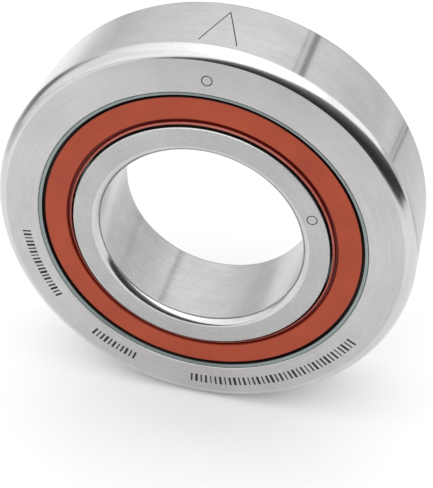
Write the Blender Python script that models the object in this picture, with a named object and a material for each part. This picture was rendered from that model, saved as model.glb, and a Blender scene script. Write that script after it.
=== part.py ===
"""Single-row angular contact ball bearing, 30 x 62 x 15 mm, sealed on both sides.

Every round piece is a closed profile turned about the world Y axis, which is the bearing axis.
The front, marked side faces -Y. Drawing dimensions are in millimetres and become metres in
the mesh. Angles are in degrees.
"""
import math

import bmesh
import bpy
from mathutils import Matrix, Vector

MM = 0.001

# main sizes
BORE_R = 15.0
OUTSIDE_R = 31.0
WIDTH = 15.0
BORE_CORNER = 1.1
OUTSIDE_CORNER = 1.6

# rolling set
BALL_R = 3.572
BALL_COUNT = 17
PITCH_R = 23.0
CONTACT_ANGLE = 60.0
OUTER_GROOVE_R = 3.75
INNER_GROOVE_R = 3.715
RACE_CLEARANCE = 0.08

# shoulders beside the raceways
OUTER_HIGH_SHOULDER_R = 23.7
OUTER_LOW_SHOULDER_R = 26.48
INNER_LOW_SHOULDER_R = 19.5
INNER_HIGH_SHOULDER_R = 22.3
SHOULDER_END_Y = 4.7

# seal seats, as radii on the front side; the back side is the same, moved outward
SEAT_STEP = 2.6
LAND_R = 19.0
LAND_BREAK = 0.12
SEAT_R = 24.0
UNDERCUT_R = 25.0
UNDERCUT_NEAR_Y = 6.9
UNDERCUT_FAR_Y = 5.9
LIP_WALL_R = 24.1
LIP_CHAMFER = 0.3

# seal mouldings, front side radii and distances from mid-width
SEAL_FACE_Y = 7.05
SEAL_FACE_IN_R = 20.3
SEAL_FACE_OUT_R = 23.4
SEAL_GROOVE_Y = 6.6
SEAL_GROOVE_OUT_R = 20.2
SEAL_GROOVE_IN_R = 19.9
LIP_TOP_Y = 6.95
LIP_OUT_R = 19.85
LIP_IN_R = 19.35
BEAD_R = 24.9
BEAD_NEAR_Y = 6.8
BEAD_FAR_Y = 6.0
SEAL_BACK_Y = 5.55

# steel stiffener behind each moulding
PLATE_IN_R = 20.1
PLATE_OUT_R = 23.7
PLATE_THICK = 0.4
PLATE_NEAR_Y = 5.45
FLANGE_TOP_Y = 6.2
FLANGE_GAP = 0.06

# cage: a slanted band with one spherical pocket for each ball
CAGE_HALF_WIDTH = 4.7
CAGE_MID_IN_R = 21.7
CAGE_MID_OUT_R = 24.3
CAGE_SLANT = 1.4
POCKET_R = 3.8

# mesh fineness
RING_STEPS = 60
CAGE_STEPS = 4 * BALL_COUNT
GROOVE_STEPS = 7
CORNER_STEPS = 3
BALL_SEGMENTS = 12
BALL_RINGS = 7
POCKET_SEGMENTS = 16
POCKET_RINGS = 8
SHARP_ANGLE = 28.0


def clear_scene():
    """Remove the objects the start-up file brings."""
    for obj in list(bpy.data.objects):
        bpy.data.objects.remove(obj, do_unlink=True)


def material(name, color, metallic, roughness):
    """One Principled material."""
    mat = bpy.data.materials.new(name)
    mat.use_nodes = True
    shader = mat.node_tree.nodes["Principled BSDF"]
    shader.inputs["Base Color"].default_value = (*color, 1.0)
    shader.inputs["Metallic"].default_value = metallic
    shader.inputs["Roughness"].default_value = roughness
    mat.diffuse_color = (*color, 1.0)
    return mat


def arc(center, radius, start, end, steps):
    """Points (r, y) of an arc, both ends included."""
    points = []
    for i in range(steps + 1):
        a = math.radians(start + (end - start) * i / steps)
        points.append((center[0] + radius * math.cos(a), center[1] + radius * math.sin(a)))
    return points


def groove(groove_r, outward, near_r, far_r):
    """Raceway arc: its centre lies beyond the ball centre, along the contact line.

    outward is 1 for the outer ring's raceway and -1 for the inner ring's. The arc starts on the
    shoulder at near_r on the -Y side and ends on the shoulder at far_r on the +Y side.
    """
    shift = groove_r - BALL_R - RACE_CLEARANCE
    tilt = math.radians(CONTACT_ANGLE)
    center = (PITCH_R - outward * shift * math.cos(tilt), outward * shift * math.sin(tilt))
    near = math.degrees(math.acos(outward * (near_r - center[0]) / groove_r))
    far = math.degrees(math.acos(outward * (far_r - center[0]) / groove_r))
    if outward > 0:
        return arc(center, groove_r, -near, far, GROOVE_STEPS)
    return arc(center, groove_r, 180.0 + near, 180.0 - far, GROOVE_STEPS)


def mirrored(points, step):
    """The same stretch of profile on the back side, moved outward and run the other way."""
    return [(r + step, -y) for r, y in reversed(points)]


def ring_object(name, profile, mat, steps=RING_STEPS):
    """Turn a closed profile of (r, y) points about Y into one ring."""
    mesh = bpy.data.meshes.new(name)
    bm = bmesh.new()
    rows = []
    for i in range(steps):
        a = 2.0 * math.pi * i / steps
        c, s = math.cos(a), math.sin(a)
        rows.append([bm.verts.new((r * c * MM, y * MM, r * s * MM)) for r, y in profile])
    count = len(profile)
    for i in range(steps):
        here, there = rows[i], rows[(i + 1) % steps]
        for j in range(count):
            k = (j + 1) % count
            bm.faces.new((here[j], here[k], there[k], there[j]))
    bmesh.ops.recalc_face_normals(bm, faces=bm.faces)
    bm.to_mesh(mesh)
    bm.free()
    return finished(name, mesh, mat)


def finished(name, mesh, mat):
    """Give a mesh its material and shading and link it as one object."""
    mesh.materials.append(mat)
    mesh.shade_smooth()
    mesh.set_sharp_from_angle(angle=math.radians(SHARP_ANGLE))
    obj = bpy.data.objects.new(name, mesh)
    bpy.context.scene.collection.objects.link(obj)
    return obj


def seat_profile():
    """Front seal seat of the outer ring, from the ring face inward to the raceway shoulder."""
    face_y = WIDTH / 2.0
    return [
        (LIP_WALL_R + LIP_CHAMFER, -face_y),
        (LIP_WALL_R, LIP_CHAMFER - face_y),
        (LIP_WALL_R, -UNDERCUT_NEAR_Y),
        (UNDERCUT_R, -UNDERCUT_NEAR_Y),
        (UNDERCUT_R, -UNDERCUT_FAR_Y),
        (SEAT_R, -UNDERCUT_FAR_Y),
        (SEAT_R, -SHOULDER_END_Y),
    ]


def land_profile():
    """Front seal land of the inner ring, from the ring face inward."""
    face_y = WIDTH / 2.0
    return [
        (LAND_R - LAND_BREAK, -face_y),
        (LAND_R, LAND_BREAK - face_y),
        (LAND_R, -SHOULDER_END_Y),
    ]


def outer_ring(mat):
    """Outer ring: high raceway shoulder at the front, low one at the back."""
    center_r = OUTSIDE_R - OUTSIDE_CORNER
    center_y = WIDTH / 2.0 - OUTSIDE_CORNER
    profile = seat_profile()
    profile += [(OUTER_HIGH_SHOULDER_R, -SHOULDER_END_Y)]
    profile += groove(OUTER_GROOVE_R, 1, OUTER_HIGH_SHOULDER_R, OUTER_LOW_SHOULDER_R)
    profile += [(OUTER_LOW_SHOULDER_R, SHOULDER_END_Y)]
    profile += mirrored(seat_profile(), SEAT_STEP)
    profile += arc((center_r, center_y), OUTSIDE_CORNER, 90.0, 0.0, CORNER_STEPS)
    profile += arc((center_r, -center_y), OUTSIDE_CORNER, 0.0, -90.0, CORNER_STEPS)
    return ring_object("outer_ring", profile, mat)


def inner_ring(mat):
    """Inner ring: low raceway shoulder at the front, high one at the back."""
    center_r = BORE_R + BORE_CORNER
    center_y = WIDTH / 2.0 - BORE_CORNER
    profile = land_profile()
    profile += [(INNER_LOW_SHOULDER_R, -SHOULDER_END_Y)]
    profile += groove(INNER_GROOVE_R, -1, INNER_LOW_SHOULDER_R, INNER_HIGH_SHOULDER_R)
    profile += [(INNER_HIGH_SHOULDER_R, SHOULDER_END_Y)]
    profile += mirrored(land_profile(), SEAT_STEP)
    profile += arc((center_r, center_y), BORE_CORNER, 90.0, 180.0, CORNER_STEPS)
    profile += arc((center_r, -center_y), BORE_CORNER, 180.0, 270.0, CORNER_STEPS)
    return ring_object("inner_ring", profile, mat)


def seal_profile():
    """Front rubber moulding: flat face, thin lip on the inside, snap-in bead on the outside.

    A slot in its back takes the flange of the steel stiffener.
    """
    slot_out_r = PLATE_OUT_R + FLANGE_GAP
    slot_in_r = PLATE_OUT_R - PLATE_THICK - FLANGE_GAP
    slot_y = FLANGE_TOP_Y + FLANGE_GAP
    return [
        (SEAL_FACE_OUT_R, -SEAL_FACE_Y),
        (SEAL_FACE_IN_R, -SEAL_FACE_Y),
        (SEAL_GROOVE_OUT_R, -SEAL_GROOVE_Y),
        (SEAL_GROOVE_IN_R, -SEAL_GROOVE_Y),
        (LIP_OUT_R, -LIP_TOP_Y),
        (LIP_IN_R, -LIP_TOP_Y),
        (LIP_IN_R, -SEAL_BACK_Y),
        (slot_in_r, -SEAL_BACK_Y),
        (slot_in_r, -slot_y),
        (slot_out_r, -slot_y),
        (slot_out_r, -BEAD_FAR_Y),
        (BEAD_R, -BEAD_FAR_Y),
        (BEAD_R, -BEAD_NEAR_Y),
        (SEAL_FACE_OUT_R, -BEAD_NEAR_Y),
    ]


def plate_profile():
    """Front sheet-steel stiffener: a flat ring with a flange bent forward at its rim."""
    flange_in_r = PLATE_OUT_R - PLATE_THICK
    return [
        (PLATE_IN_R, -PLATE_NEAR_Y),
        (flange_in_r, -PLATE_NEAR_Y),
        (flange_in_r, -FLANGE_TOP_Y),
        (PLATE_OUT_R, -FLANGE_TOP_Y),
        (PLATE_OUT_R, PLATE_THICK - PLATE_NEAR_Y),
        (PLATE_IN_R, PLATE_THICK - PLATE_NEAR_Y),
    ]


def seals(rubber, steel):
    """Both seals. The back one is the front one turned round and moved outward."""
    ring_object("front_seal_rubber", seal_profile(), rubber)
    ring_object("front_seal_plate", plate_profile(), steel)
    ring_object("back_seal_rubber", mirrored(seal_profile(), SEAT_STEP), rubber)
    ring_object("back_seal_plate", mirrored(plate_profile(), SEAT_STEP), steel)


def ball_angle(index):
    """Angle of one ball round the bearing axis. The first ball is at the top."""
    return math.pi / 2.0 + 2.0 * math.pi * index / BALL_COUNT


def ball_center(index):
    """Centre of one ball, in metres."""
    a = ball_angle(index)
    return Vector((math.cos(a), 0.0, math.sin(a))) * PITCH_R * MM


def facing(index, tilt):
    """Rotation that turns +Z to the ball's outward radius, leaned by tilt degrees toward +Y."""
    a = ball_angle(index)
    radial = Vector((math.cos(a), 0.0, math.sin(a)))
    t = math.radians(tilt)
    z_axis = radial * math.cos(t) + Vector((0.0, 1.0, 0.0)) * math.sin(t)
    x_axis = Vector((-math.sin(a), 0.0, math.cos(a)))
    y_axis = z_axis.cross(x_axis)
    return Matrix((x_axis, y_axis, z_axis)).transposed()


def pocket_cutter():
    """One hidden mesh with a sphere at each ball, to cut the cage's pockets."""
    mesh = bpy.data.meshes.new("pocket_cutter")
    bm = bmesh.new()
    for i in range(BALL_COUNT):
        place = Matrix.Translation(ball_center(i)) @ facing(i, 0.0).to_4x4()
        bmesh.ops.create_uvsphere(bm, u_segments=POCKET_SEGMENTS, v_segments=POCKET_RINGS,
                                  radius=POCKET_R * MM, matrix=place)
    bm.to_mesh(mesh)
    bm.free()
    cutter = bpy.data.objects.new("pocket_cutter", mesh)
    bpy.context.scene.collection.objects.link(cutter)
    cutter.hide_render = True
    cutter.display_type = "WIRE"
    return cutter


def cage(mat):
    """Window cage: a slanted band that follows the contact line, cut by the ball pockets."""
    profile = [
        (CAGE_MID_OUT_R - CAGE_SLANT, -CAGE_HALF_WIDTH),
        (CAGE_MID_IN_R - CAGE_SLANT, -CAGE_HALF_WIDTH),
        (CAGE_MID_IN_R + CAGE_SLANT, CAGE_HALF_WIDTH),
        (CAGE_MID_OUT_R + CAGE_SLANT, CAGE_HALF_WIDTH),
    ]
    band = ring_object("cage", profile, mat, CAGE_STEPS)
    cut = band.modifiers.new("pockets", "BOOLEAN")
    cut.operation = "DIFFERENCE"
    cut.solver = "EXACT"
    cut.object = pocket_cutter()
    return band


def balls(mat, carrier):
    """The balls, all of one mesh, each with its own spin axis as local Z."""
    mesh = bpy.data.meshes.new("ball")
    bm = bmesh.new()
    bmesh.ops.create_uvsphere(bm, u_segments=BALL_SEGMENTS, v_segments=BALL_RINGS,
                              radius=BALL_R * MM)
    bm.to_mesh(mesh)
    bm.free()
    mesh.materials.append(mat)
    mesh.shade_smooth()
    for i in range(BALL_COUNT):
        ball = bpy.data.objects.new(f"ball_{i + 1:02d}", mesh)
        ball.parent = carrier
        ball.location = ball_center(i)
        ball.rotation_euler = facing(i, 90.0 - CONTACT_ANGLE).to_euler()
        bpy.context.scene.collection.objects.link(ball)


def main():
    clear_scene()
    outer_ring(material("outer_ring_steel", (0.52, 0.53, 0.54), 1.0, 0.28))
    inner_ring(material("inner_ring_steel", (0.50, 0.51, 0.52), 1.0, 0.28))
    seals(
        material("seal_rubber", (0.37, 0.085, 0.05), 0.0, 0.55),
        material("seal_plate_steel", (0.40, 0.41, 0.42), 1.0, 0.40),
    )
    carrier = cage(material("cage_polyamide", (0.05, 0.05, 0.045), 0.0, 0.60))
    balls(material("ball_steel", (0.72, 0.73, 0.74), 1.0, 0.08), carrier)


main()
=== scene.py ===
# %% [markdown]
# # A sealed angular contact ball bearing, 30 x 62 x 15 mm
# The bearing is a set of turned rings with balls and a cage between them. The engineering model
# is loaded first as a fixed frame: it settles every size, and each finer piece made below rides
# on one of its bodies, so that the joints carry the fine pieces along.

import math

import bmesh
import bpy
import numpy as np
from mathutils import Matrix, Vector


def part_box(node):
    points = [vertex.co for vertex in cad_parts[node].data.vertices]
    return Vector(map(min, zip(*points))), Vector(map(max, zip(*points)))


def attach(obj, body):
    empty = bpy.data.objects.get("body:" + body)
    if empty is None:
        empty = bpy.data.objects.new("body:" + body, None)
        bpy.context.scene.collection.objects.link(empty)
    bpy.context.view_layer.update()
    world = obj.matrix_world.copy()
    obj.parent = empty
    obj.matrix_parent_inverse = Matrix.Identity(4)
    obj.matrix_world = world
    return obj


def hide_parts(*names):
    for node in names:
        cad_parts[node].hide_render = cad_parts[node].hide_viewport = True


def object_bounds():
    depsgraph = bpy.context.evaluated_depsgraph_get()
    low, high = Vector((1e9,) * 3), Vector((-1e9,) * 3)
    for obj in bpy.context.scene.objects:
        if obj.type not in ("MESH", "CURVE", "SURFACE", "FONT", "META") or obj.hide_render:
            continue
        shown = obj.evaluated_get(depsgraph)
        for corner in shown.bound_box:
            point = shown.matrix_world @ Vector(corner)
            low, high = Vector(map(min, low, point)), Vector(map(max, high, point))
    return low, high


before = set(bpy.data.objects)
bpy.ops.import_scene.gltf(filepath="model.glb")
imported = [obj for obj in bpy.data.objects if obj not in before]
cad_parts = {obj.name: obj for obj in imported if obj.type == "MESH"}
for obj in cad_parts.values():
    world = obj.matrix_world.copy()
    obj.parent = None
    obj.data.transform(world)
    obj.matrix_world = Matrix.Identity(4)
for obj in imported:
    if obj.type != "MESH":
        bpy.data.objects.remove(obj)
cad_low, cad_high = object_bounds()

# %% [markdown]
# ## Sizes
# The outer sizes are read from the frame's boxes. The profile sizes below are the drawing's own
# radii and distances from mid-width, in millimetres: r is measured from the bearing axis, which
# is the Y axis, and y runs along it, with the marked front face at -y.

# %% Sizes in millimetres
MM = 0.001
OUTSIDE_R = cad_high.x / MM
HALF_WIDTH = cad_high.y / MM
BORE_R = 15.0
BORE_CORNER = 1.1
OUTSIDE_CORNER = 1.6
BALL_R = 3.572
BALL_COUNT = sum(1 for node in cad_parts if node.startswith("ball_"))
PITCH_R = (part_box("ball_01")[0].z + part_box("ball_01")[1].z) / 2.0 / MM
BALL_ANGLES = math.pi / 2.0 + 2.0 * math.pi * np.arange(BALL_COUNT) / BALL_COUNT
CONTACT_ANGLE = math.radians(60.0)
SEAT_STEP = 2.6  # how much farther out the seal seats are on the back
print(f"outside {2 * OUTSIDE_R:.1f} mm, width {2 * HALF_WIDTH:.1f} mm, pitch radius {PITCH_R:.2f} mm")

# %% [markdown]
# ## From an outline to a turned ring
# A lathe turns a flat outline about an axis, and every edge it leaves has a small rounding that
# catches the light. So a ring here is a closed outline whose corners each have a fillet. The
# outline is swept round the axis as one grid of points: one direction of the grid follows the
# outline and the other goes round. A short straight strip is kept at both ends of each fillet,
# because smooth shading then stays true on the flat sides. A Screw modifier would give the same
# shape, but the grid also carries a UV map and one finish for each side of the outline.

# %% Outline with filleted corners
STRIP = 0.035  # length of the straight strip at each end of a fillet
FILLET_POINTS = 5
GROUND_EDGE = 0.03  # fillet where a ground side cuts a turned corner
CORNER_TILT = 9.0  # degrees between a turned corner and the ground side


def unit(vector):
    """The vector divided by its length."""
    return vector / np.linalg.norm(vector)


def fillet(before, corner, after, radius):
    """Points that replace one corner of an outline.

    The fillet circle touches both sides at radius / tan(half the corner's angle) from the
    corner, and its centre lies on the bisector. A strip's end point is added on each side.
    """
    back, ahead = unit(before - corner), unit(after - corner)
    half = math.acos(float(np.clip(back @ ahead, -1.0, 1.0))) / 2.0
    reach = radius / math.tan(half)
    center = corner + unit(back + ahead) * radius / math.sin(half)
    start, end = corner + back * reach, corner + ahead * reach
    first = math.atan2(*(start - center)[::-1])
    sweep = (math.atan2(*(end - center)[::-1]) - first + math.pi) % (2.0 * math.pi) - math.pi
    angle = first + sweep * np.linspace(0.0, 1.0, FILLET_POINTS)
    curve = center + radius * np.stack([np.cos(angle), np.sin(angle)], axis=1)
    return np.vstack([start + back * STRIP, curve, end + ahead * STRIP])


def outline(rows):
    """Closed outline of (r, y, fillet radius, finish of the side that follows) rows.

    Returns the points and the finish of each side between them. A fillet has the finish of the
    side after it, and a row without a fillet is kept as it is.
    """
    corners = np.array([row[:2] for row in rows])
    points, finishes = [], []
    for i, (_, _, radius, side) in enumerate(rows):
        if radius == 0.0:
            points.append(corners[i:i + 1])
            finishes += [side]
            continue
        made = fillet(corners[i - 1], corners[i], corners[(i + 1) % len(rows)], radius)
        points.append(made)
        finishes += [rows[i - 1][3]] + [side] * (len(made) - 1)
    return np.vstack(points), finishes


def turned_corner(corner, back, ahead, size, after, steps=16):
    """Rows of a big corner rounding that was turned before the sides were ground.

    Grinding cuts into the arc, so it meets each side at a slight angle, CORNER_TILT in degrees,
    and not at a tangent. The arc starts and ends size away from the corner. With half the arc's
    sweep h = 45 - CORNER_TILT, its radius is size / (sqrt 2 sin h), and its centre lies
    size / sqrt 2 + radius cos h from the corner along the bisector. back and ahead point along
    the two sides, and after is the finish of the side that follows.
    """
    corner, back, ahead = (np.array(v, dtype=float) for v in (corner, back, ahead))
    half = math.radians(45.0 - CORNER_TILT)
    radius = size / (math.sqrt(2.0) * math.sin(half))
    inward = unit(back + ahead)
    across = unit(ahead - back)
    center = corner + inward * (size / math.sqrt(2.0) + radius * math.cos(half))
    t = np.linspace(-half, half, steps + 1)[:, None]
    curve = center + radius * (across * np.sin(t) - inward * np.cos(t))
    finishes = ["bright corner"] * steps + [after]
    fillets = [GROUND_EDGE] + [0.0] * (steps - 1) + [GROUND_EDGE]
    return [(r, y, f, name) for (r, y), f, name in zip(curve, fillets, finishes)]


# %% Meshes from arrays
ROUND_STEPS = 288


def new_mesh(name, points, faces, materials, indices=None):
    """A smooth-shaded mesh from an array of points in millimetres and an array of faces."""
    mesh = bpy.data.meshes.new(name)
    mesh.from_pydata(points * MM, [], faces)
    for mat in materials:
        mesh.materials.append(mat)
    if indices is not None:
        mesh.polygons.foreach_set("material_index", np.asarray(indices, dtype=np.int32))
    mesh.shade_smooth()
    mesh.validate()
    return mesh


def place(name, mesh, body, slot, *nodes):
    """Link a finished mesh as one piece on its body, in place of the frame's nodes."""
    piece = bpy.data.objects.new(name, mesh)
    bpy.context.scene.collection.objects.link(piece)
    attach(piece, body)
    if nodes:
        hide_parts(*nodes)
    print(f"{name}: {len(mesh.polygons)} faces on {body}")


def turned(name, rows, steps=ROUND_STEPS):
    """Mesh of an outline turned about Y: (r, y) goes to (r cos a, y, r sin a) for all angles a.

    The UV map runs round the ring in u and along the outline in v, in metres.
    """
    profile, finishes = outline(rows)
    count = len(profile)
    angle = 2.0 * math.pi * np.arange(steps) / steps
    r, y = profile.T
    points = np.stack([
        np.outer(np.cos(angle), r),
        np.broadcast_to(y, (steps, count)),
        np.outer(np.sin(angle), r),
    ], axis=-1).reshape(-1, 3)
    i, j = np.meshgrid(np.arange(steps), np.arange(count), indexing="ij")
    here, there = i * count, (i + 1) % steps * count
    next_j = (j + 1) % count
    faces = np.stack([here + j, here + next_j, there + next_j, there + j], axis=-1)
    names = list(dict.fromkeys(finishes))
    indices = np.tile([names.index(f) for f in finishes], steps)
    mesh = new_mesh(name, points, faces.reshape(-1, 4), [FINISHES[n] for n in names], indices)
    length = np.append(0.0, np.cumsum(np.linalg.norm(np.diff(profile, axis=0), axis=1)))
    length = np.append(length, length[-1] + np.linalg.norm(profile[-1] - profile[0]))
    u = 2.0 * math.pi * np.mean(r) * np.stack([i, i, i + 1, i + 1], axis=-1) / steps
    v = np.stack([length[j], length[j + 1], length[j + 1], length[j]], axis=-1)
    layer = mesh.uv_layers.new(name="turning")
    layer.data.foreach_set("uv", (np.stack([u, v], axis=-1) * MM).astype(np.float32).ravel())
    return mesh


def flipped(rows, step):
    """The same outline for the back side: moved outward, mirrored in y, run the other way.

    Each side's finish stays with its side.
    """
    count = len(rows)
    return [(rows[i][0] + step, -rows[i][1], rows[i][2], rows[i - 1][3])
            for i in range(count - 1, -1, -1)]


# %% [markdown]
# ## Building materials
# Every finish is a Principled shader with a few pattern nodes. One function turns a colour
# picked as sRGB hex into linear light, and one adds a node with its settings and links.

# %% Material helpers
def linear(hex_color):
    """An sRGB hex colour as linear RGBA."""
    parts = [int(hex_color[k:k + 2], 16) / 255.0 for k in (1, 3, 5)]
    return (*[p / 12.92 if p <= 0.04045 else ((p + 0.055) / 1.055) ** 2.4 for p in parts], 1.0)


def add(tree, kind, settings=None, values=None, links=None):
    """Add one node: settings are its properties, values its sockets, links what feeds them."""
    node = tree.nodes.new(kind)
    for key, value in (settings or {}).items():
        setattr(node, key, value)
    for key, value in (values or {}).items():
        node.inputs[key].default_value = value
    for key, source in (links or {}).items():
        tree.links.new(source, node.inputs[key])
    return node


def shader(name, values):
    """A new material with one Principled shader. Returns the material, its tree and shader."""
    mat = bpy.data.materials.new(name)
    mat.use_nodes = True
    tree = mat.node_tree
    tree.nodes.clear()
    body = add(tree, "ShaderNodeBsdfPrincipled", values=values)
    add(tree, "ShaderNodeOutputMaterial", links={"Surface": body.outputs["BSDF"]})
    return mat, tree, body


# %% [markdown]
# ## Bearing steel
# The rings are through-hardened chrome steel, 100Cr6. Each surface keeps the marks of the
# machine that made it. The flat faces and the outside are ground, which leaves hair-thin lines
# that run round the ring. The big corner roundings are turned and then tumbled, so they mirror
# the room. The raceways are honed. The colour is nearly the same iron grey everywhere. It is
# darker on the seal seats, in the thin groove beside the seal and in the bore; in the groove and
# the bore that darkness is painted shade. The broken edges are paler, a painted highlight. What
# changes is the line spacing, how deep the lines are, and how rough the metal is between them.

# %% Steel finishes
LINE_FADE_MM = 7.0
STEEL_GRAIN_MM = 0.35


def cylinder_coordinates(tree):
    """Object position, distance from the Y axis, and distance along it, in metres."""
    spot = add(tree, "ShaderNodeTexCoord").outputs["Object"]
    split = add(tree, "ShaderNodeSeparateXYZ", links={"Vector": spot})
    flat = add(tree, "ShaderNodeCombineXYZ",
               links={"X": split.outputs["X"], "Z": split.outputs["Z"]})
    radius = add(tree, "ShaderNodeVectorMath", {"operation": "LENGTH"},
                 links={0: flat.outputs["Vector"]})
    return spot, radius.outputs["Value"], split.outputs["Y"]


def steel(name, base, across, spacing_mm, depth_mm, rough, blotch=0.03, aniso=0.0, cloud_mm=9.0):
    """Ground or turned steel.

    across says along which way the machining lines follow each other: "radius" on a flat face
    and "axis" on a cylinder. The lines are four-dimensional noise whose fourth value is that
    distance over the line spacing, while the first three move slowly, so a line fades in and
    out as it goes round. A fine grain is added to the lines, and a wide noise clouds the colour.
    base holds the two colours that it blends. aniso blurs reflections across the lines only.
    """
    mat, tree, body = shader(name, {"Metallic": 1.0, "Anisotropic": aniso,
                                    "Anisotropic Rotation": 0.25})
    spot, radius, axial = cylinder_coordinates(tree)
    distance = radius if across == "radius" else axial
    fourth = add(tree, "ShaderNodeMath", {"operation": "MULTIPLY"},
                 {1: 1.0 / (spacing_mm * MM)}, {0: distance})
    lines = add(tree, "ShaderNodeTexNoise", {"noise_dimensions": "4D"},
                {"Scale": 1.0, "Detail": 3.0, "Roughness": 0.6},
                {"W": fourth.outputs["Value"]})
    slow = add(tree, "ShaderNodeVectorMath", {"operation": "SCALE"},
               {"Scale": 1.0 / (LINE_FADE_MM * MM)}, {0: spot})
    tree.links.new(slow.outputs["Vector"], lines.inputs["Vector"])
    cloud = add(tree, "ShaderNodeTexNoise", {},
                {"Scale": 1.0 / (cloud_mm * MM), "Detail": 4.0, "Roughness": 0.55},
                {"Vector": spot})
    grain = add(tree, "ShaderNodeTexNoise", {},
                {"Scale": 1.0 / (STEEL_GRAIN_MM * MM), "Detail": 2.0}, {"Vector": spot})
    both = add(tree, "ShaderNodeMath", {"operation": "MULTIPLY_ADD"}, {1: 0.45},
               {0: grain.outputs["Fac"], 2: lines.outputs["Fac"]})
    clouded = add(tree, "ShaderNodeMath", {"operation": "ADD"},
                  links={0: cloud.outputs["Fac"], 1: both.outputs["Value"]})
    shade = add(tree, "ShaderNodeMapRange", {}, {"From Min": 0.85, "From Max": 1.6},
                {"Value": clouded.outputs["Value"]})
    tone = add(tree, "ShaderNodeMixRGB", {},
               {"Color1": linear(base[0]), "Color2": linear(base[1])},
               {"Fac": shade.outputs["Result"]})
    tree.links.new(tone.outputs["Color"], body.inputs["Base Color"])
    spread = add(tree, "ShaderNodeMapRange", {},
                 {"From Min": 0.35, "From Max": 1.1, "To Min": rough - blotch,
                  "To Max": rough + blotch}, {"Value": both.outputs["Value"]})
    tree.links.new(spread.outputs["Result"], body.inputs["Roughness"])
    bump = add(tree, "ShaderNodeBump", {}, {"Strength": 1.0, "Distance": depth_mm * MM},
               {"Height": both.outputs["Value"]})
    tree.links.new(bump.outputs["Normal"], body.inputs["Normal"])
    if aniso:
        turn = add(tree, "ShaderNodeTangent", {"direction_type": "UV_MAP", "uv_map": "turning"})
        tree.links.new(turn.outputs["Tangent"], body.inputs["Tangent"])
    return mat


FINISHES = {
    # surface-ground: dull silver grey, faint lines round the ring
    "ground face": steel("steel_ground_face", ("#b3b2b1", "#cac9c8"), "radius",
                         spacing_mm=0.16, depth_mm=0.0004, rough=0.25),
    # the inner ring's faces, ground with a finer wheel: a shade darker
    "fine ground face": steel("steel_fine_ground_face", ("#a8a9a8", "#bebfbe"), "radius",
                              spacing_mm=0.12, depth_mm=0.0003, rough=0.28),
    # cylindrically ground: brighter, blurred along the axis only
    "ground cylinder": steel("steel_ground_cylinder", ("#c4c4c5", "#d9d9da"), "axis",
                             spacing_mm=0.12, depth_mm=0.0003, rough=0.15, blotch=0.02,
                             aniso=0.75, cloud_mm=5.0),
    # bore, ground from inside by a small wheel; its colour, darker than the outside's, is painted
    # shade for the hollow
    "ground bore": steel("steel_ground_bore_painted_shade", ("#b9b9bb", "#d2d2d3"), "axis",
                         spacing_mm=0.10, depth_mm=0.0004, rough=0.22, blotch=0.02,
                         aniso=0.75, cloud_mm=5.0),
    # turned, then tumbled bright
    "bright corner": steel("steel_tumbled_corner", ("#c4c3c1", "#d6d5d4"), "axis",
                           spacing_mm=0.20, depth_mm=0.0004, rough=0.16),
    # honed to a mirror
    "raceway": steel("steel_honed_raceway", ("#d2d2d2", "#dadada"), "axis",
                     spacing_mm=0.10, depth_mm=0.0001, rough=0.06, blotch=0.01),
    # turned seal seat, darker than the faces and tinted green-grey
    "seal seat": steel("steel_turned_seat", ("#84908f", "#9aa6a5"), "radius",
                       spacing_mm=0.14, depth_mm=0.0008, rough=0.36),
    # thin groove round the seat, painted dark as the shade inside it
    "rim groove": steel("steel_rim_groove_painted_shade", ("#3a4143", "#485052"), "radius",
                        spacing_mm=0.10, depth_mm=0.0004, rough=0.4),
    # sharp edges broken with a stone: dull, and paler than the faces, a painted highlight on the
    # edges
    "broken edge": steel("steel_stoned_edge_painted_highlight", ("#cfd0d0", "#dcdddd"), "radius",
                         spacing_mm=0.12, depth_mm=0.0003, rough=0.5),
}
print("steel finishes:", ", ".join(FINISHES))

# %% [markdown]
# ## The two rings
# The outer ring's raceway is cut deep on one side: the front shoulder is high and the back one
# low, so the balls carry axial load along a line at 60 degrees. The inner ring is the same the
# other way round. Each raceway arc is a little wider than the ball, and its centre lies past the
# ball's centre on the contact line.

# %% Raceway arcs
CLEARANCE = 0.06
OUTER_GROOVE_R, INNER_GROOVE_R = 3.75, 3.715


def raceway(groove_r, outward, start_side, near_r, far_r, steps=36):
    """Raceway points as raw outline rows, from the shoulder at near_r to the one at far_r.

    The arc is (center_r + outward R cos t, center_y + R sin t), where R is groove_r. outward is
    1 for the outer ring and -1 for the inner one. start_side is the side, -1 for the front or 1
    for the back, on which the arc starts.
    """
    shift = groove_r - BALL_R - CLEARANCE
    center_r = PITCH_R - outward * shift * math.cos(CONTACT_ANGLE)
    center_y = outward * shift * math.sin(CONTACT_ANGLE)
    first = start_side * math.acos(outward * (near_r - center_r) / groove_r)
    last = -start_side * math.acos(outward * (far_r - center_r) / groove_r)
    t = np.linspace(first, last, steps + 1)
    r = center_r + outward * groove_r * np.cos(t)
    y = center_y + groove_r * np.sin(t)
    return [(a, b, 0.0, "raceway") for a, b in zip(r, y)]


# %% Outer ring
OUTER_HIGH_SHOULDER_R, OUTER_LOW_SHOULDER_R = 23.7, 26.48
LIP_R, UNDERCUT_R, SEAT_R = 23.92, 25.0, 24.0
# round the seal's opening: a chamfer, a thin groove and the broken edge of the face
LIP_CHAMFER_R, LIP_CHAMFER_Y = 0.44, 0.25
RIM_GROOVE_WIDTH, RIM_DEPTH, RIM_BREAK = 0.12, 0.08, 0.05
RIM_R = LIP_R + LIP_CHAMFER_R
UNDERCUT_NEAR_Y, UNDERCUT_FAR_Y, SHOULDER_Y = 6.9, 5.9, 4.7

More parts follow.
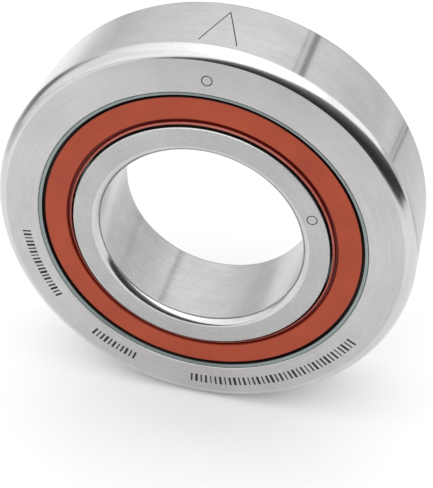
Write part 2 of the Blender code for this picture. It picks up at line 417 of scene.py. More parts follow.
front_seat = [
    (OUTER_HIGH_SHOULDER_R, -SHOULDER_Y, 0.05, "seal seat"),
    (SEAT_R, -SHOULDER_Y, 0.05, "seal seat"),
    (SEAT_R, -UNDERCUT_FAR_Y, 0.05, "seal seat"),
    (UNDERCUT_R, -UNDERCUT_FAR_Y, 0.15, "seal seat"),
    (UNDERCUT_R, -UNDERCUT_NEAR_Y, 0.15, "seal seat"),
    (LIP_R, -UNDERCUT_NEAR_Y, 0.05, "seal seat"),
    (LIP_R, LIP_CHAMFER_Y - HALF_WIDTH, 0.05, "seal seat"),
    (RIM_R, RIM_DEPTH - HALF_WIDTH, 0.02, "rim groove"),
    (RIM_R + RIM_GROOVE_WIDTH, RIM_DEPTH - HALF_WIDTH, 0.02, "broken edge"),
    (RIM_R + RIM_GROOVE_WIDTH + RIM_BREAK, -HALF_WIDTH, 0.02, "ground face"),
]
back_seat = flipped(front_seat[2:], SEAT_STEP)
# the side after its last row is the seat's own, not the face that a full turn would give
back_seat[-1] = (*back_seat[-1][:3], "seal seat")
outer_rows = turned_corner((OUTSIDE_R, -HALF_WIDTH), (-1, 0), (0, 1), OUTSIDE_CORNER,
                           "ground cylinder")
outer_rows += turned_corner((OUTSIDE_R, HALF_WIDTH), (0, -1), (-1, 0), OUTSIDE_CORNER,
                            "ground face")
outer_rows += back_seat
outer_rows += [(SEAT_R + SEAT_STEP, SHOULDER_Y, 0.02, "seal seat"),
               (OUTER_LOW_SHOULDER_R, SHOULDER_Y, 0.02, "seal seat")]
outer_rows += raceway(OUTER_GROOVE_R, 1, 1, OUTER_LOW_SHOULDER_R, OUTER_HIGH_SHOULDER_R)
outer_rows += front_seat
place("outer_ring_steel", turned("outer_ring_steel", outer_rows),
      "outer_body", "outer_ring_steel", "outer_ring")

# %% Inner ring
INNER_LOW_SHOULDER_R, INNER_HIGH_SHOULDER_R = 19.5, 22.3
LAND_R, LAND_BREAK = 19.0, 0.12
BACK_LAND_R = LAND_R + SEAT_STEP
inner_rows = turned_corner((BORE_R, -HALF_WIDTH), (0, 1), (1, 0), BORE_CORNER,
                           "fine ground face")
inner_rows += [
    (LAND_R - LAND_BREAK, -HALF_WIDTH, 0.03, "broken edge"),
    (LAND_R, LAND_BREAK - HALF_WIDTH, 0.05, "seal seat"),
    (LAND_R, -SHOULDER_Y, 0.1, "seal seat"),
    (INNER_LOW_SHOULDER_R, -SHOULDER_Y, 0.05, "seal seat"),
]
inner_rows += raceway(INNER_GROOVE_R, -1, -1, INNER_LOW_SHOULDER_R, INNER_HIGH_SHOULDER_R)
inner_rows += [
    (INNER_HIGH_SHOULDER_R, SHOULDER_Y, 0.05, "seal seat"),
    (BACK_LAND_R, SHOULDER_Y, 0.1, "seal seat"),
    (BACK_LAND_R, HALF_WIDTH - LAND_BREAK, 0.03, "broken edge"),
    (BACK_LAND_R - LAND_BREAK, HALF_WIDTH, 0.03, "fine ground face"),
]
inner_rows += turned_corner((BORE_R, HALF_WIDTH), (1, 0), (0, -1), BORE_CORNER,
                            "ground bore")
place("inner_ring_steel", turned("inner_ring_steel", inner_rows),
      "inner_body", "inner_ring_steel", "inner_ring")

# %% [markdown]
# ## The seals
# Each seal is nitrile rubber moulded on a steel stiffener. The brick red comes from iron oxide
# pigment. The moulding has a flat face, a narrow groove and then a thin pointed lip that runs
# close to the inner ring without touching it, so it costs no torque. The mould was spark-eroded,
# which leaves a fine satin grain, and pressing leaves faint flow clouds.

# %% Moulded rubber and pressed sheet steel
FLOW_CLOUD_MM, RUBBER_GRAIN_MM, RUBBER_GRAIN_DEPTH_MM = 6.0, 0.12, 0.004


def moulded_rubber(name, base, rough=0.5):
    """Satin nitrile rubber: flow clouds between two colours, fine grain in the surface."""
    mat, tree, body = shader(name, {"Specular IOR Level": 0.3, "IOR": 1.5})
    spot = add(tree, "ShaderNodeTexCoord").outputs["Object"]
    cloud = add(tree, "ShaderNodeTexNoise", {},
                {"Scale": 1.0 / (FLOW_CLOUD_MM * MM), "Detail": 5.0, "Roughness": 0.6},
                {"Vector": spot})
    tone = add(tree, "ShaderNodeValToRGB", {}, {}, {"Fac": cloud.outputs["Fac"]})
    low, high = tone.color_ramp.elements
    low.position, low.color = 0.3, linear(base[0])
    high.position, high.color = 0.7, linear(base[1])
    tree.links.new(tone.outputs["Color"], body.inputs["Base Color"])
    grain = add(tree, "ShaderNodeTexNoise", {},
                {"Scale": 1.0 / (RUBBER_GRAIN_MM * MM), "Detail": 2.0}, {"Vector": spot})
    spread = add(tree, "ShaderNodeMapRange", {},
                {"From Min": 0.3, "From Max": 0.7, "To Min": rough - 0.07,
                 "To Max": rough + 0.07},
                {"Value": grain.outputs["Fac"]})
    tree.links.new(spread.outputs["Result"], body.inputs["Roughness"])
    bump = add(tree, "ShaderNodeBump", {},
               {"Strength": 1.0, "Distance": RUBBER_GRAIN_DEPTH_MM * MM},
               {"Height": grain.outputs["Fac"]})
    tree.links.new(bump.outputs["Normal"], body.inputs["Normal"])
    return mat


FINISHES["rubber"] = moulded_rubber("nitrile_rubber_brick_red", ("#9b3b21", "#a84323"))
# the lip's crest, polished in the mould: smoother, and a paler pink painted as its highlight
FINISHES["lip"] = moulded_rubber("nitrile_rubber_lip_painted_highlight", ("#a55547", "#b4675a"), 0.32)
# the inner groove and the inside of the lip: a darker red, painted as the shade in these hollows
FINISHES["groove"] = moulded_rubber("nitrile_rubber_groove_painted_shade", ("#650f0a", "#75160d"), 0.4)
# the outer gap round the seal's face: a near-black red, painted as the shade deep in the gap
FINISHES["painted gap shade"] = moulded_rubber("nitrile_rubber_painted_gap_shade", ("#240705", "#300a07"), 0.45)
FINISHES["sheet"] = steel("sheet_steel_cold_rolled", ("#a9abad", "#b7b9bb"), "radius", 0.3,
                          0.001, 0.38)

# %% Seal outlines
SEAL_LIP_R, SEAL_LIP_Y = 19.37, 7.27
SEAL_FACE_Y, SEAL_BACK_Y = 7.05, 5.55
GROOVE_Y, GAP_Y = 6.50, 6.40
BEAD_R, BEAD_NEAR_Y, BEAD_FAR_Y = 24.90, 6.80, 6.00
PLATE_R, PLATE_NEAR_Y, PLATE_FAR_Y = 20.10, 5.45, 5.05
FLANGE_IN_R, FLANGE_OUT_R, FLANGE_Y = 23.30, 23.70, 6.20
SLOT_GAP = 0.06

seal_rows = [
    # the lip, whose paler crest is a painted highlight, and the groove behind it, darkened with
    # painted shade
    (SEAL_LIP_R, -SEAL_LIP_Y, 0.04, "lip"),
    (19.62, -6.98, 0.05, "groove"),
    (19.72, -GROOVE_Y, 0.04, "groove"),
    (20.04, -GROOVE_Y, 0.05, "groove"),
    (20.11, -6.85, 0.04, "rubber"),
    # the flat face and the outer gap, whose walls carry painted shade
    (20.18, -SEAL_FACE_Y - 0.02, 0.08, "rubber"),
    (23.50, -SEAL_FACE_Y, 0.08, "painted gap shade"),
    (23.54, -GAP_Y, 0.05, "painted gap shade"),
    (23.98, -GAP_Y, 0.05, "painted gap shade"),
    (24.05, -BEAD_NEAR_Y, 0.10, "painted gap shade"),
    # the bead that snaps into the outer ring
    (BEAD_R, -BEAD_NEAR_Y, 0.25, "rubber"),
    (BEAD_R, -BEAD_FAR_Y, 0.25, "rubber"),
    (FLANGE_OUT_R + SLOT_GAP, -BEAD_FAR_Y, 0.05, "rubber"),
    # the slot for the plate's flange
    (FLANGE_OUT_R + SLOT_GAP, -FLANGE_Y - SLOT_GAP, 0.04, "rubber"),
    (FLANGE_IN_R - SLOT_GAP, -FLANGE_Y - SLOT_GAP, 0.04, "rubber"),
    (FLANGE_IN_R - SLOT_GAP, -SEAL_BACK_Y, 0.05, "rubber"),
    (SEAL_LIP_R, -SEAL_BACK_Y, 0.15, "groove"),
]
plate_rows = [
    (PLATE_R, -PLATE_NEAR_Y, 0.08, "sheet"),
    (FLANGE_IN_R, -PLATE_NEAR_Y, 0.05, "sheet"),
    (FLANGE_IN_R, -FLANGE_Y, 0.05, "sheet"),
    (FLANGE_OUT_R, -FLANGE_Y, 0.05, "sheet"),
    (FLANGE_OUT_R, -PLATE_FAR_Y, 0.35, "sheet"),
    (PLATE_R, -PLATE_FAR_Y, 0.08, "sheet"),
]
for part, rows, slot in (("rubber", seal_rows, "seal_rubber"),
                         ("plate", plate_rows, "seal_plate_steel")):
    front, back = f"front_seal_{part}", f"back_seal_{part}"
    place(front + "_fine", turned(front + "_fine", rows), "outer_body", slot, front)
    place(back + "_fine", turned(back + "_fine", flipped(rows, SEAT_STEP)),
          "outer_body", slot, back)

# %% [markdown]
# ## Balls
# A bearing ball is lapped between grooved plates until it is round to a tenth of a micrometre
# and mirror bright. Its mesh starts as the six faces of a cube, each one a grid pushed out to the
# sphere, because that has no poles and its faces are nearly all the same size.

# %% Balls
HAZE_MM = 1.5


def cube_sphere(cells):
    """Grid points of a cube, each divided by its distance from the centre, and their faces.

    The tangent of an even angle step spaces the grid, which evens out the faces.
    """
    side = np.tan(np.linspace(-math.pi / 4.0, math.pi / 4.0, cells + 1))
    a, b = np.meshgrid(side, side, indexing="ij")
    c = np.ones_like(a)
    sides = [(c, a, b), (-c, b, a), (b, c, a), (a, -c, b), (a, b, c), (b, a, -c)]
    points = np.concatenate([np.stack(s, axis=-1).reshape(-1, 3) for s in sides])
    points /= np.linalg.norm(points, axis=1, keepdims=True)
    i, j = np.meshgrid(np.arange(cells), np.arange(cells), indexing="ij")
    corner = (i * (cells + 1) + j).ravel()
    face = np.stack([corner, corner + cells + 1, corner + cells + 2, corner + 1], axis=-1)
    faces = np.concatenate([face + k * (cells + 1) ** 2 for k in range(6)])
    return points, faces


def welded(points, faces):
    """Join points that share a place to a ten-thousandth of a millimetre."""
    _, first, where = np.unique(np.round(points, 4), axis=0, return_index=True,
                                return_inverse=True)
    return points[first], where.reshape(-1)[faces]


def lapped_ball():
    """Mirror-lapped steel with the faintest haze."""
    mat, tree, body = shader("steel_lapped_ball", {"Metallic": 1.0,
                                                   "Base Color": linear("#dcdcdc")})
    spot = add(tree, "ShaderNodeTexCoord").outputs["Object"]
    haze = add(tree, "ShaderNodeTexNoise", {}, {"Scale": 1.0 / (HAZE_MM * MM), "Detail": 4.0},
               {"Vector": spot})
    rough = add(tree, "ShaderNodeMapRange", {}, {"To Min": 0.03, "To Max": 0.08},
                {"Value": haze.outputs["Fac"]})
    tree.links.new(rough.outputs["Result"], body.inputs["Roughness"])
    return mat


ball_steel = lapped_ball()
sphere_points, sphere_faces = welded(*cube_sphere(14))
for k, angle in enumerate(BALL_ANGLES):
    middle = PITCH_R * np.array([math.cos(angle), 0.0, math.sin(angle)])
    name = f"ball_{k + 1:02d}"
    mesh = new_mesh(name + "_lapped", sphere_points * BALL_R + middle, sphere_faces, [ball_steel])
    place(name + "_lapped", mesh, name + "_body", "ball_steel", name)

# %% [markdown]
# ## Cage
# The cage is one injection moulding in glass-filled polyamide: a slanted band with a spherical
# pocket for each ball. A Boolean would cut the pockets but leave slivers. Instead one cell of
# the band is written as surfaces: seen from outside, rays leave the pocket's centre, meet the
# pocket's rim and end on the cell's border, and the grid runs along and round those rays. The
# cell is then copied round the ring, and its borders meet exactly.

# %% Cage cell
CAGE_HALF_WIDTH, CAGE_IN_R, CAGE_OUT_R = 4.7, 21.7, 24.3
CAGE_SLOPE = 1.4 / CAGE_HALF_WIDTH
POCKET_R = 3.72
FIBRE_MM, FIBRE_DEPTH_MM = 0.3, 0.004
POCKET_CENTER = np.array([PITCH_R, 0.0, 0.0])
HALF_CELL_LENGTH = math.pi / BALL_COUNT * PITCH_R


def cage_rays(per_side):
    """Ray angles that reach the cell's border, with each corner hit exactly."""
    corner = math.atan2(CAGE_HALF_WIDTH, HALF_CELL_LENGTH)
    turns = [-corner, corner, math.pi - corner, math.pi + corner, 2.0 * math.pi - corner]
    return np.concatenate([np.linspace(a, b, per_side, endpoint=False)
                           for a, b in zip(turns[:-1], turns[1:])])


def wall_point(s, rho, mid_r):
    """Point on the slanted wall, rho along ray s: turn rho cos s / pitch radius, y = rho sin s."""
    turn, y = rho * np.cos(s) / PITCH_R, rho * np.sin(s)
    r = mid_r + CAGE_SLOPE * y
    return np.stack([r * np.cos(turn), y, r * np.sin(turn)], axis=-1)


def pocket_rim(s, mid_r):
    """Distance along each ray at which the wall meets the pocket's sphere.

    It is found by halving: the rim lies between 0 and CAGE_HALF_WIDTH, and each of the 40 turns
    keeps the half that holds it.
    """
    low, high = np.zeros_like(s), np.full_like(s, CAGE_HALF_WIDTH)
    for _ in range(40):
        half = (low + high) / 2.0
        reach = np.linalg.norm(wall_point(s, half, mid_r) - POCKET_CENTER, axis=-1)
        inside = reach < POCKET_R
        low, high = np.where(inside, half, low), np.where(inside, high, half)
    return (low + high) / 2.0


def cage_cell(per_side=14, wall_steps=5, pocket_steps=8, edge_steps=4):
    """Points and faces of one cell: outer wall, pocket, inner wall and the two end faces."""
    s = cage_rays(per_side)
    border = np.minimum(HALF_CELL_LENGTH / np.maximum(np.abs(np.cos(s)), 1e-9),
                        CAGE_HALF_WIDTH / np.maximum(np.abs(np.sin(s)), 1e-9))
    rims = {r: pocket_rim(s, r) for r in (CAGE_OUT_R, CAGE_IN_R)}
    blend = np.linspace(0.0, 1.0, wall_steps + 1)[:, None]
    outer = wall_point(s, border + (rims[CAGE_OUT_R] - border) * blend, CAGE_OUT_R)
    inner = wall_point(s, rims[CAGE_IN_R] + (border - rims[CAGE_IN_R]) * blend, CAGE_IN_R)
    across = np.linspace(0.0, 1.0, pocket_steps + 1)[1:-1, None, None]
    pocket = outer[-1] + (inner[0] - outer[-1]) * across - POCKET_CENTER
    pocket *= POCKET_R / np.linalg.norm(pocket, axis=-1, keepdims=True)
    rows = np.concatenate([outer, pocket + POCKET_CENTER, inner])
    i, j = np.meshgrid(np.arange(len(rows) - 1), np.arange(len(s)), indexing="ij")
    n, k = len(s), (j + 1) % len(s)
    faces = np.stack([i * n + j, (i + 1) * n + j, (i + 1) * n + k, i * n + k], axis=-1)
    parts, quads = [rows.reshape(-1, 3)], [faces.reshape(-1, 4)]
    ends = np.nonzero(np.isclose(np.abs(border * np.sin(s)), CAGE_HALF_WIDTH))[0]
    step = np.linspace(0.0, 1.0, edge_steps + 1)[:, None, None]
    for sign in (1.0, -1.0):
        side = ends[np.sign(np.sin(s[ends])) == sign]
        side = side[np.argsort(-sign * np.cos(s[side]) * border[side])]
        strip = inner[-1][side] + (outer[0][side] - inner[-1][side]) * step
        a, b = np.meshgrid(np.arange(edge_steps), np.arange(len(side) - 1), indexing="ij")
        m = len(side)
        quad = np.stack([a * m + b, (a + 1) * m + b, (a + 1) * m + b + 1, a * m + b + 1], axis=-1)
        quads.append(quad.reshape(-1, 4) + sum(len(p) for p in parts))
        parts.append(strip.reshape(-1, 3))
    return np.concatenate(parts), np.concatenate(quads)


def cage_polyamide():
    """Dark glass-filled polyamide: satin, with short glass fibres that show as fine flecks."""
    mat, tree, body = shader("polyamide_glass_filled", {"IOR": 1.53})
    spot = add(tree, "ShaderNodeTexCoord").outputs["Object"]
    fibre = add(tree, "ShaderNodeTexVoronoi", {}, {"Scale": 1.0 / (FIBRE_MM * MM)},
                {"Vector": spot})
    tone = add(tree, "ShaderNodeMixRGB", {},
               {"Color1": linear("#4a4a46"), "Color2": linear("#3a3a37")},
               {"Fac": fibre.outputs["Distance"]})
    rough = add(tree, "ShaderNodeMapRange", {}, {"To Min": 0.42, "To Max": 0.6},
                {"Value": fibre.outputs["Distance"]})
    bump = add(tree, "ShaderNodeBump", {}, {"Strength": 1.0, "Distance": FIBRE_DEPTH_MM * MM},
               {"Height": fibre.outputs["Distance"]})
    tree.links.new(tone.outputs["Color"], body.inputs["Base Color"])
    tree.links.new(rough.outputs["Result"], body.inputs["Roughness"])
    tree.links.new(bump.outputs["Normal"], body.inputs["Normal"])
    return mat


# %% Cage ring
cell_points, cell_faces = cage_cell()
cos_turn, sin_turn = np.cos(BALL_ANGLES)[:, None], np.sin(BALL_ANGLES)[:, None]
x, y, z = cell_points.T
cage_points = np.stack([
    x * cos_turn - z * sin_turn,
    np.broadcast_to(y, (BALL_COUNT, len(y))),
    x * sin_turn + z * cos_turn,
], axis=-1).reshape(-1, 3)
first_points = len(cell_points) * np.arange(BALL_COUNT)[:, None, None]
cage_faces = (cell_faces + first_points).reshape(-1, 4)
cage_mesh = new_mesh("cage_moulded", *welded(cage_points, cage_faces), [cage_polyamide()])
cage_mesh.set_sharp_from_angle(angle=math.radians(40.0))
place("cage_moulded", cage_mesh, "cage_body", "cage_polyamide", "cage")

# %% [markdown]
# ## Laser marks
# The marks are burnt in by a laser, which leaves a flat, blue-black oxide line one to four
# tenths of a millimetre wide. A V across the outside shows how a set of bearings is stacked,
# and a small ring on each front face shows the high point of that ring. Three groups of plain
# bars stand for codes and spell nothing. Each line is drawn as a flat ribbon: its path is laid
# out on the unrolled surface, given its width there, and then wrapped on to the plane or the
# cylinder.

# %% Mark helpers
MARK_SUNK, MARK_PROUD = 0.02, 0.004
V_LINE, RING_LINE = 0.15, 0.14
RING_MARK_R = 0.70
BAR_LEAST, BAR_SPREAD = 0.18, 0.26
PULSE_MM = 0.08


def on_face(flat, height):
    """Unrolled (x, z) on the front face, height out of it."""
    x, z = flat[..., 0], flat[..., 1]
    return np.stack([x, np.full_like(x, -HALF_WIDTH - height), z], axis=-1)


def on_outside(flat, height):
    """Unrolled (arc length, y) on the outside, height out of it: angle = arc length / radius."""
    angle, y = flat[..., 0] / OUTSIDE_R, flat[..., 1]
    r = OUTSIDE_R + height
    return np.stack([r * np.cos(angle), y, r * np.sin(angle)], axis=-1)


def ribbon(path, width, wrap, closed=False):
    """Flat ribbon along a path: two edges at half the width on each side, mitred at the bends.

    Returns points and faces of a thin closed solid between MARK_SUNK and MARK_PROUD.
    """
    ahead = np.roll(path, -1, axis=0) - path
    behind = path - np.roll(path, 1, axis=0)
    if not closed:
        ahead[-1], behind[0] = behind[-1], ahead[0]
    ahead = ahead / np.linalg.norm(ahead, axis=1, keepdims=True)
    behind = behind / np.linalg.norm(behind, axis=1, keepdims=True)
    side = np.stack([-(ahead + behind)[:, 1], (ahead + behind)[:, 0]], axis=1)
    side /= np.linalg.norm(side, axis=1, keepdims=True)
    square = np.abs(side[:, 0] * -ahead[:, 1] + side[:, 1] * ahead[:, 0])[:, None]
    left, right = path + side * width / 2.0 / square, path - side * width / 2.0 / square
    rows = np.stack([wrap(left, MARK_PROUD), wrap(right, MARK_PROUD),
                     wrap(right, -MARK_SUNK), wrap(left, -MARK_SUNK)], axis=1)
    n = len(path)
    i, j = np.meshgrid(np.arange(n if closed else n - 1), np.arange(4), indexing="ij")
    k, m = (i + 1) % n, (j + 1) % 4
    faces = np.stack([4 * i + j, 4 * i + m, 4 * k + m, 4 * k + j], axis=-1).reshape(-1, 4)
    if not closed:
        last = 4 * (n - 1)
        caps = np.array([[3, 2, 1, 0], [last, last + 1, last + 2, last + 3]])
        faces = np.concatenate([faces, caps])
    return rows.reshape(-1, 3), faces


def laser_oxide():
    """Blue-black annealed oxide: matt and dark, mottled by the laser's pulses."""
    mat, tree, body = shader("laser_oxide", {"Metallic": 0.6, "Roughness": 0.55})
    spot = add(tree, "ShaderNodeTexCoord").outputs["Object"]
    pulse = add(tree, "ShaderNodeTexNoise", {}, {"Scale": 1.0 / (PULSE_MM * MM), "Detail": 1.0},
                {"Vector": spot})
    tone = add(tree, "ShaderNodeMixRGB", {},
               {"Color1": linear("#17181b"), "Color2": linear("#34363a")},
               {"Fac": pulse.outputs["Fac"]})
    tree.links.new(tone.outputs["Color"], body.inputs["Base Color"])
    return mat


oxide = laser_oxide()


def place_marks(name, ribbons, body, slot):
    """Join ribbons into one piece. Its faces are turned to point outwards."""
    parts, quads, total = [], [], 0
    for points, faces in ribbons:
        parts.append(points)
        quads.append(faces + total)
        total += len(points)
    mesh = new_mesh(name, np.concatenate(parts), np.concatenate(quads), [oxide])
    bm = bmesh.new()
    bm.from_mesh(mesh)
    bmesh.ops.recalc_face_normals(bm, faces=bm.faces)
    bm.to_mesh(mesh)
    bm.free()
    mesh.set_sharp_from_angle(angle=math.radians(30.0))
    place(name, mesh, body, slot)


# %% V mark and high-point rings
V_FOOT_Y, V_TIP_Y = -4.9, 3.7
V_ANGLES = (91.4, 87.1, 81.9)  # degrees, from one foot over the tip to the other
OUTER_HIGH_POINT = (26.55, 87.7)  # radius and angle
INNER_HIGH_POINT = (17.5, 23.0)


def polar(r, degrees):
    """(x, z) at radius r and an angle from +X toward +Z."""
    a = np.radians(degrees)
    return np.stack([r * np.cos(a), r * np.sin(a)], axis=-1)


turn = np.linspace(0.0, 2.0 * math.pi, 48, endpoint=False)
small_ring = RING_MARK_R * np.stack([np.cos(turn), np.sin(turn)], axis=1)
v_corners = np.stack([np.radians(V_ANGLES) * OUTSIDE_R, [V_FOOT_Y, V_TIP_Y, V_FOOT_Y]], axis=1)
v_path = np.concatenate([np.linspace(v_corners[0], v_corners[1], 12, endpoint=False),
                         np.linspace(v_corners[1], v_corners[2], 13)])
place_marks("v_mark", [ribbon(v_path, V_LINE, on_outside)], "outer_body", "outer_ring_steel")
outer_high = ribbon(small_ring + polar(*OUTER_HIGH_POINT), RING_LINE, on_face, closed=True)
inner_high = ribbon(small_ring + polar(*INNER_HIGH_POINT), RING_LINE, on_face, closed=True)
place_marks("high_point_outer", [outer_high], "outer_body", "outer_ring_steel")
place_marks("high_point_inner", [inner_high], "inner_body", "inner_ring_steel")


# %% Code bars
def bars(start, end, count, low_r, high_r):
    """Radial bars from low_r to high_r, spread evenly between two angles in degrees.

    Their widths follow the fractional part of k times the golden ratio, phi.
    """
    phi = (1.0 + math.sqrt(5.0)) / 2.0
    made = []
    for k in range(count):
        angle = start + (end - start) * (k + 0.5) / count
        wide = BAR_LEAST + BAR_SPREAD * ((k + 1) * phi % 1.0)
        path = np.stack([polar(low_r, angle), polar(high_r, angle)])
        made.append(ribbon(path, wide, on_face))
    return made


codes = {
    "type": bars(-30.5, -93.0, 38, 26.4, 28.0),
    "origin": bars(-112.0, -129.3, 11, 26.2, 27.7),
    "batch": bars(-146.0, -174.0, 20, 26.1, 27.4),
}
for code, made in codes.items():
    place_marks(f"code_bars_{code}", made, "outer_body", "outer_ring_steel")

# %% [markdown]
# ## Floor, light and camera
# The bearing stands on its rim on a plain pale sheet under a wide soft light. Steel shows what
# is round it, so the room matters as much as the lamp. The cards round the bearing are seen only
# in its reflections: bright ones give the broad highlights, and dark ones draw the crisp dark
# lines along the roundings.

# %% Floor
def stage_piece(name, points, faces):
    """Link a mesh, in millimetres, that belongs to the studio and not to the bearing."""
    mesh = bpy.data.meshes.new(name)
    mesh.from_pydata(np.asarray(points, dtype=float) * MM, [], faces)
    piece = bpy.data.objects.new(name, mesh)
    bpy.context.scene.collection.objects.link(piece)
    return piece


GROUND_Z = cad_low.z / MM
FLOOR_Z = GROUND_Z - 0.02
FLOOR_HALF = 2000.0
floor_corners = [(x * FLOOR_HALF, y * FLOOR_HALF, FLOOR_Z)
                 for x, y in ((-1, -1), (1, -1), (1, 1), (-1, 1))]
floor = stage_piece("floor", floor_corners, [(0, 1, 2, 3)])
paper, _, _ = shader("floor_paper", {"Base Color": linear("#f7f7f8"), "Roughness": 0.9,
                                     "Specular IOR Level": 0.1})
floor.data.materials.append(paper)


# %% Cards
def seen_by_reflections(card):
    """Let only reflections see a card. Returns its material's tree and its emission node."""
    mat = bpy.data.materials.new(card.name)
    mat.use_nodes = True
    tree = mat.node_tree
    tree.nodes.clear()
    glow = add(tree, "ShaderNodeEmission")
    add(tree, "ShaderNodeOutputMaterial", links={"Surface": glow.outputs["Emission"]})
    card.data.materials.append(mat)
    for ray in ("camera", "diffuse", "transmission", "volume_scatter", "shadow"):
        setattr(card, f"visible_{ray}", False)
    return tree, glow


def plain_card(name, corners, color, strength=1.0):
    """A four-cornered card in one shade."""
    _, glow = seen_by_reflections(stage_piece(name, corners, [(0, 1, 2, 3)]))
    glow.inputs["Color"].default_value = linear(color)
    glow.inputs["Strength"].default_value = strength


def strip_card(name, start, end, shades):
    """A bent card between two edges that have equally many points.

    shades are (place, brightness) stops, where the place runs from 0 at the start edge to 1 at
    the end edge.
    """
    n = len(start)
    k = np.arange(n - 1)
    card = stage_piece(name, np.concatenate([start, end]),
                       np.stack([k, k + 1, n + k + 1, n + k], axis=1))
    layer = card.data.uv_layers.new(name="card")
    across = np.tile([0.0, 0.0, 1.0, 1.0], n - 1)
    layer.data.foreach_set("uv", np.stack([across, across], axis=1).astype(np.float32).ravel())
    tree, glow = seen_by_reflections(card)
    uv = add(tree, "ShaderNodeUVMap", {"uv_map": "card"})
    split = add(tree, "ShaderNodeSeparateXYZ", links={"Vector": uv.outputs["UV"]})
    ramp = add(tree, "ShaderNodeValToRGB", links={"Fac": split.outputs["Y"]})
    stops = ramp.color_ramp.elements
    while len(stops) < len(shades):
        stops.new(0.5)
    for stop, (position, shade) in zip(stops, shades):
        stop.position = position
        stop.color = (shade, shade, shade, 1.0)
    tree.links.new(ramp.outputs["Color"], glow.inputs["Color"])


def standing(route, z):
    """Points over the (x, y) points of a route: z is one height, or a height for each point."""
    route = np.array(route, dtype=float)
    return np.column_stack([route, np.broadcast_to(z, len(route))])


def arc_route(radius, first, last, steps=24):
    """(x, y) points of an arc round the back, by angle in degrees from +Y toward +X."""
    a = np.radians(np.linspace(first, last, steps + 1))
    return radius * np.stack([np.sin(a), np.cos(a)], axis=1)


# %% Dark room, table and doorway
TABLE_Z = GROUND_Z + 0.1  # flat cards lie this little above the floor

room_route = [(-105, -300), (-70, -300), (-40, -300), (25, -300), (115, -290),
              (160, -267), (250, -187), (300, -85), (308, 0), (306, 22)]
room_tops = [20, 100, 150, 215, 245, 288, 288, 200, 129, 29]
strip_card("dark_room_front", standing(room_route, GROUND_Z), standing(room_route, room_tops),
           [(0.0, 0.02), (0.25, 0.03), (0.5, 0.09), (0.75, 0.19), (0.9, 0.4), (1.0, 1.2)])
strip_card("dark_table_front",
           standing([(-90, -300), (0, -300), (60, -300), (340, -300)], TABLE_Z),
           standing([(-90, -150), (0, -126), (60, -112), (340, -70)], TABLE_Z),
           [(0.0, 0.02), (0.93, 0.03), (1.0, 0.75)])
doorway_route = [(-300, -60), (-300, 0), (-300, 80), (-295, 150), (-290, 200)]
doorway_tops = [-25, 130, 270, 230, -5]
strip_card("dark_doorway_left",
           standing(doorway_route, GROUND_Z), standing(doorway_route, doorway_tops),
           [(0.0, 0.6), (0.2, 0.28), (0.4, 0.2), (0.65, 0.5), (1.0, 0.9)])
# cards on the floor, seen only in reflections, paint shade into the floor that the steel mirrors: on
# the left, and behind the bearing where its own shadow falls
strip_card("table_shade_left",
           standing([(-330, -120), (-330, 90)], TABLE_Z),
           standing([(-140, -120), (-140, 90)], TABLE_Z),
           [(0.0, 0.5), (0.4, 0.6), (1.0, 0.88)])
strip_card("table_shade_back",
           standing([(0, 40), (160, 20)], TABLE_Z),
           standing([(0, 400), (400, 400)], TABLE_Z),
           [(0.0, 0.84), (0.2, 0.76), (0.5, 0.70), (1.0, 0.76)])

# %% Back wall
wall_route = arc_route(450, -115, 115)
strip_card("back_wall", standing(wall_route, GROUND_Z), standing(wall_route, 450),
           [(0.0, 0.88), (0.106, 0.71), (0.27, 0.76), (0.54, 0.90), (0.836, 1.12), (1.0, 1.15)])
# a dark gap in front of the wall, low behind the bearing
gap_route = arc_route(400, -32, 24)
strip_card("horizon_gap", standing(gap_route, -12), standing(gap_route, 48),
           [(0.0, 0.85), (0.35, 0.06), (0.65, 0.06), (1.0, 0.85)])

# %% Bright cards
strip_card("bright_card_front", [(-400, -350, 50), (-400, -350, 400)],
           [(350, -350, 50), (350, -350, 400)],
           [(0.0, 1.1), (0.35, 1.45), (0.5, 1.7), (1.0, 1.6)])
strip_card("bright_card_top", [(-400, -350, 400), (-400, 280, 400)],
           [(350, -350, 400), (350, 280, 400)],
           [(0.0, 1.2), (0.35, 1.5), (0.5, 1.9), (1.0, 2.0)])
plain_card("bright_card_left", [(-380, -350, 40), (-380, -60, 40), (-380, -60, 400),
                                (-380, -350, 400)], "#ffffff", 1.1)
plain_card("bright_card_right", [(350, -350, 100), (350, 250, 100), (350, 250, 400),
                                 (350, -350, 400)], "#ffffff", 1.5)


# %% Tent frame
def dark_rod(name, middle, along, width, color, half_length=60.0):
    """A thin strip of the light tent's frame, turned to face the bearing."""
    middle, along = np.array(middle, dtype=float), unit(np.array(along, dtype=float))
    across = unit(np.cross(along, middle)) * width / 2.0
    start, end = middle - along * half_length, middle + along * half_length
    plain_card(name, [start - across, end - across, end + across, start + across], color)


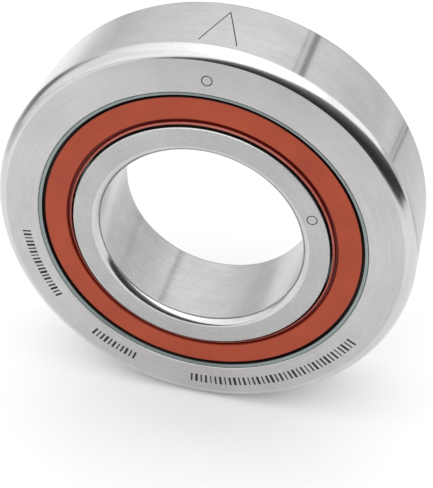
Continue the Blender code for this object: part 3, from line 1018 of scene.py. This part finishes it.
dark_rod("tent_rod_1", (49.5, 130.0, 92.0), (-0.34, 0.485, -0.80), 1.3, "#8a8a8a")
dark_rod("tent_rod_2", (57.5, 130.5, 87.0), (-0.376, 0.481, -0.786), 1.7, "#505256")
dark_rod("tent_rod_3", (101.0, 127.5, -9.3), (-0.78, 0.357, -0.51), 1.2, "#909090")
dark_rod("tent_rod_4", (100.0, 127.5, -15.0), (-0.79, 0.36, -0.50), 1.2, "#303030")
dark_rod("tent_rod_5", (45.5, 112.5, 72.0), (-0.315, 0.664, -0.675), 4.0, "#949494")

# %% Light
world = bpy.data.worlds.new("pale_room")
bpy.context.scene.world = world
world.use_nodes = True
room = world.node_tree.nodes["Background"]
room.inputs["Color"].default_value = (1.0, 1.0, 1.0, 1.0)
room.inputs["Strength"].default_value = 0.97


def soft_box(name, middle, size, watts):
    """A square area lamp, size metres wide, that points at the bearing."""
    lamp = bpy.data.lights.new(name, "AREA")
    lamp.shape = "SQUARE"
    lamp.size = size
    lamp.energy = watts
    obj = bpy.data.objects.new(name, lamp)
    obj.location = middle
    obj.rotation_euler = (-Vector(middle)).to_track_quat("-Z", "Y").to_euler()
    bpy.context.scene.collection.objects.link(obj)
    return obj


# the cards stand for the lamp in reflections
key = soft_box("key_soft_box", (-0.02, -0.05, 0.45), 0.80, 1.10)
key.visible_glossy = False

# %% Camera
CAMERA_AZIMUTH, CAMERA_ELEVATION = 14.58, 37.30  # degrees
CAMERA_DISTANCE, CAMERA_LEFT, CAMERA_DOWN = 170.7, 2.44, 3.05
LENS, SENSOR = 84.644, 36.0
SHIFT_X, SHIFT_Y = 0.045, -0.024

az, el = math.radians(CAMERA_AZIMUTH), math.radians(CAMERA_ELEVATION)
back = Vector((math.sin(az) * math.cos(el), -math.cos(az) * math.cos(el), math.sin(el)))
right = Vector((math.cos(az), math.sin(az), 0.0))
up = back.cross(right)
camera_data = bpy.data.cameras.new("camera")
camera_data.sensor_width = SENSOR
camera_data.lens = LENS
camera_data.shift_x, camera_data.shift_y = SHIFT_X, SHIFT_Y
camera_data.clip_start = 0.01
camera = bpy.data.objects.new("camera", camera_data)
spot = (back * CAMERA_DISTANCE - right * CAMERA_LEFT - up * CAMERA_DOWN) * MM
facing = Matrix((right, up, back)).transposed().to_4x4()
camera.matrix_world = Matrix.Translation(spot) @ facing
bpy.context.scene.collection.objects.link(camera)
bpy.context.scene.camera = camera
bpy.context.scene.view_settings.view_transform = "Standard"
print("camera", [round(v, 4) for v in spot])
